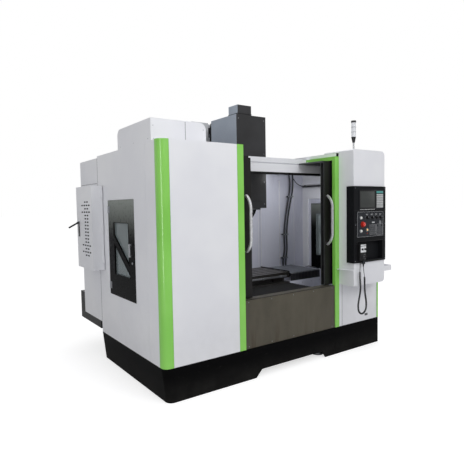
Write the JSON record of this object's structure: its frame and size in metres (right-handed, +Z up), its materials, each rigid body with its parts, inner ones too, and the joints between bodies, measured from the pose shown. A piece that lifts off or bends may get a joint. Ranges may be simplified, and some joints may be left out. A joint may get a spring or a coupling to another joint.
{
  "type": "cnc machining center",
  "caption": "Enclosed vertical milling centre with sliding front doors, T-slot table, tool changer, operator station with hand pendant and signal lamp.",
  "frame": {"origin": "on the floor under the centre of the whole machine", "axes": "+X to the right as the operator faces it, +Y towards the rear, +Z up"},
  "size_m": [2.8572, 2.305, 2.525],
  "materials": {
    "casting": "painted grey-green",
    "table_iron": "ground iron",
    "steel": "ground",
    "motor_black": "satin",
    "cover_dark": "satin",
    "skirt_black": "satin",
    "white": "fine texture",
    "green": "satin",
    "apron": "raw, faintly stained",
    "door_dark": "satin",
    "glass": "clear",
    "red": "gloss",
    "button_white": "gloss",
    "knob": "satin",
    "key_steel": "polished",
    "pendant": "moulded",
    "cord": "coiled jacket",
    "lamp": "translucent",
    "hose": "corrugated"
  },
  "bodies": {
    "root": {"levelling_feet": "steel", "bed_casting": "casting", "column_casting": "casting", "fixed_guide_rails": "steel", "fixed_axis_motors": "motor_black", "y_bellows": "cover_dark", "changer_frame": "casting", "base_skirt": "skirt_black", "left_side_wall": "white", "left_corner_post": "green", "left_front_panel": "white", "apron_panel": "apron", "right_door_post": "green", "right_column_panel": "white", "cross_beam": "white", "splash_guards": "white", "magazine_hood": "white", "rear_enclosure": "white", "operator_cabinet": "white", "control_box": "skirt_black", "pendant_body": "pendant", "pendant_cord": "cord", "signal_lamp": "lamp", "wall_conduits": "hose"},
    "saddle": {"saddle": "casting", "x_axis_motor": "motor_black", "x_bellows_left": "cover_dark", "x_bellows_right": "cover_dark"},
    "table": {"table": "table_iron"},
    "head": {"head_casting": "casting", "spindle_motor": "motor_black", "head_cover": "cover_dark"},
    "spindle": {"spindle": "steel"},
    "x_ballscrew": {"x_ballscrew": "steel"},
    "y_ballscrew": {"y_ballscrew": "steel"},
    "z_ballscrew": {"z_ballscrew": "steel"},
    "magazine_disc": {"magazine_disc": "motor_black"},
    "arm_shaft": {"arm_shaft": "steel"},
    "tool_change_arm": {"tool_change_arm": "steel"},
    "left_door": {"left_door": "door_dark", "left_door_glass": "glass"},
    "right_door": {"right_door": "door_dark", "right_door_glass": "glass"},
    "left_side_door": {"left_side_door": "white", "left_side_glass": "glass"},
    "right_side_door": {"right_side_door": "white", "right_side_glass": "glass"},
    "cabinet_door": {"cabinet_door": "white"},
    "cabinet_lever": {"cabinet_lever": "skirt_black"},
    "e_stop": {"e_stop": "red"},
    "start_button": {"start_button": "button_white"},
    "stop_button": {"stop_button": "button_white"},
    "mode_knob": {"mode_knob": "knob"},
    "feed_knob": {"feed_knob": "knob"},
    "rapid_knob": {"rapid_knob": "knob"},
    "spindle_knob": {"spindle_knob": "knob"},
    "key_switch": {"key_switch": "key_steel"},
    "pendant_wheel": {"pendant_wheel": "knob"},
    "pendant_axis_knob": {"pendant_axis_knob": "knob"},
    "pendant_step_knob": {"pendant_step_knob": "knob"}
  },
  "joints": [
    {"name": "y_axis", "type": "slide", "parent": "root", "child": "saddle", "axis": [0, 1, 0], "range_m": [-0.28, 0.12], "deforming": ["y_bellows"]},
    {"name": "x_axis", "type": "slide", "parent": "saddle", "child": "table", "axis": [1, 0, 0], "range_m": [-0.274, 0.366], "deforming": ["x_bellows_left", "x_bellows_right"]},
    {"name": "z_axis", "type": "slide", "parent": "root", "child": "head", "axis": [0, 0, 1], "range_m": [-0.48, 0.02]},
    {"name": "spindle_spin", "type": "hinge", "parent": "head", "child": "spindle", "pos_m": [0.15512, -0.1375, 1.5], "axis": [0, 0, 1], "continuous": true},
    {"name": "x_screw_spin", "type": "hinge", "parent": "saddle", "child": "x_ballscrew", "pos_m": [0.15512, -0.1555, 0.722], "axis": [1, 0, 0], "range_deg": [-6166, 8236]},
    {"name": "y_screw_spin", "type": "hinge", "parent": "root", "child": "y_ballscrew", "pos_m": [0.15512, -0.1555, 0.6], "axis": [0, 1, 0], "range_deg": [-6301, 2701]},
    {"name": "z_screw_spin", "type": "hinge", "parent": "root", "child": "z_ballscrew", "pos_m": [0.15512, 0.3585, 1.7], "axis": [0, 0, 1], "range_deg": [-10801, 451]},
    {"name": "magazine_spin", "type": "hinge", "parent": "root", "child": "magazine_disc", "pos_m": [-0.59088, -0.1375, 1.74], "axis": [1, 0, 0], "continuous": true},
    {"name": "arm_drop", "type": "slide", "parent": "root", "child": "arm_shaft", "axis": [0, 0, -1], "range_m": [0, 0.11]},
    {"name": "arm_swing", "type": "hinge", "parent": "arm_shaft", "child": "tool_change_arm", "pos_m": [-0.17489, -0.1375, 1.36], "axis": [0, 0, 1], "range_deg": [0, 90]},
    {"name": "left_door_slide", "type": "slide", "parent": "root", "child": "left_door", "axis": [1, 0, 0], "range_m": [0, 0.458]},
    {"name": "right_door_slide", "type": "slide", "parent": "root", "child": "right_door", "axis": [-1, 0, 0], "range_m": [0, 0.458]},
    {"name": "left_side_door_hinge", "type": "hinge", "parent": "root", "child": "left_side_door", "pos_m": [-1.19488, 0.1925, 1.146], "axis": [0, 0, -1], "range_deg": [0, 90]},
    {"name": "right_side_door_hinge", "type": "hinge", "parent": "root", "child": "right_side_door", "pos_m": [1.41311, 0.1175, 1.146], "axis": [0, 0, 1], "range_deg": [0, 90]},
    {"name": "cabinet_door_hinge", "type": "hinge", "parent": "root", "child": "cabinet_door", "pos_m": [-1.20088, 0.3245, 1.324], "axis": [0, 0, 1], "range_deg": [0, 70]},
    {"name": "cabinet_lever_swing", "type": "hinge", "parent": "cabinet_door", "child": "cabinet_lever", "pos_m": [-1.31988, 0.7365, 1.37], "axis": [0, 1, 0], "range_deg": [-62, 0]},
    {"name": "e_stop_press", "type": "slide", "parent": "root", "child": "e_stop", "axis": [0, 1, 0], "range_m": [0, 0.006]},
    {"name": "start_press", "type": "slide", "parent": "root", "child": "start_button", "axis": [0, 1, 0], "range_m": [0, 0.0035], "stiffness_N_per_m": 600},
    {"name": "stop_press", "type": "slide", "parent": "root", "child": "stop_button", "axis": [0, 1, 0], "range_m": [0, 0.0035], "stiffness_N_per_m": 600},
    {"name": "mode_knob_turn", "type": "hinge", "parent": "root", "child": "mode_knob", "pos_m": [0.95612, -1.1015, 1.377], "axis": [0, 1, 0], "range_deg": [-90, 90]},
    {"name": "feed_knob_turn", "type": "hinge", "parent": "root", "child": "feed_knob", "pos_m": [1.03112, -1.1015, 1.377], "axis": [0, 1, 0], "range_deg": [-135, 135]},
    {"name": "rapid_knob_turn", "type": "hinge", "parent": "root", "child": "rapid_knob", "pos_m": [1.09912, -1.1015, 1.376], "axis": [0, 1, 0], "range_deg": [-135, 135]},
    {"name": "spindle_knob_turn", "type": "hinge", "parent": "root", "child": "spindle_knob", "pos_m": [1.16511, -1.1015, 1.375], "axis": [0, 1, 0], "range_deg": [-135, 135]},
    {"name": "key_turn", "type": "hinge", "parent": "root", "child": "key_switch", "pos_m": [1.16511, -1.1015, 1.325], "axis": [0, 1, 0], "range_deg": [0, 90]},
    {"name": "pendant_wheel_turn", "type": "hinge", "parent": "root", "child": "pendant_wheel", "pos_m": [0.87111, -1.1305, 1], "axis": [0, 1, 0], "continuous": true},
    {"name": "pendant_axis_turn", "type": "hinge", "parent": "root", "child": "pendant_axis_knob", "pos_m": [0.84511, -1.1305, 1.072], "axis": [0, 1, 0], "range_deg": [-60, 60]},
    {"name": "pendant_step_turn", "type": "hinge", "parent": "root", "child": "pendant_step_knob", "pos_m": [0.88611, -1.1305, 1.072], "axis": [0, 1, 0], "range_deg": [-60, 60]}
  ],
  "couplings": [
    {"joint": "x_screw_spin", "follows": "x_axis", "rad_per_m": 392.7},
    {"joint": "y_screw_spin", "follows": "y_axis", "rad_per_m": 392.7},
    {"joint": "z_screw_spin", "follows": "z_axis", "rad_per_m": 392.7}
  ]
}
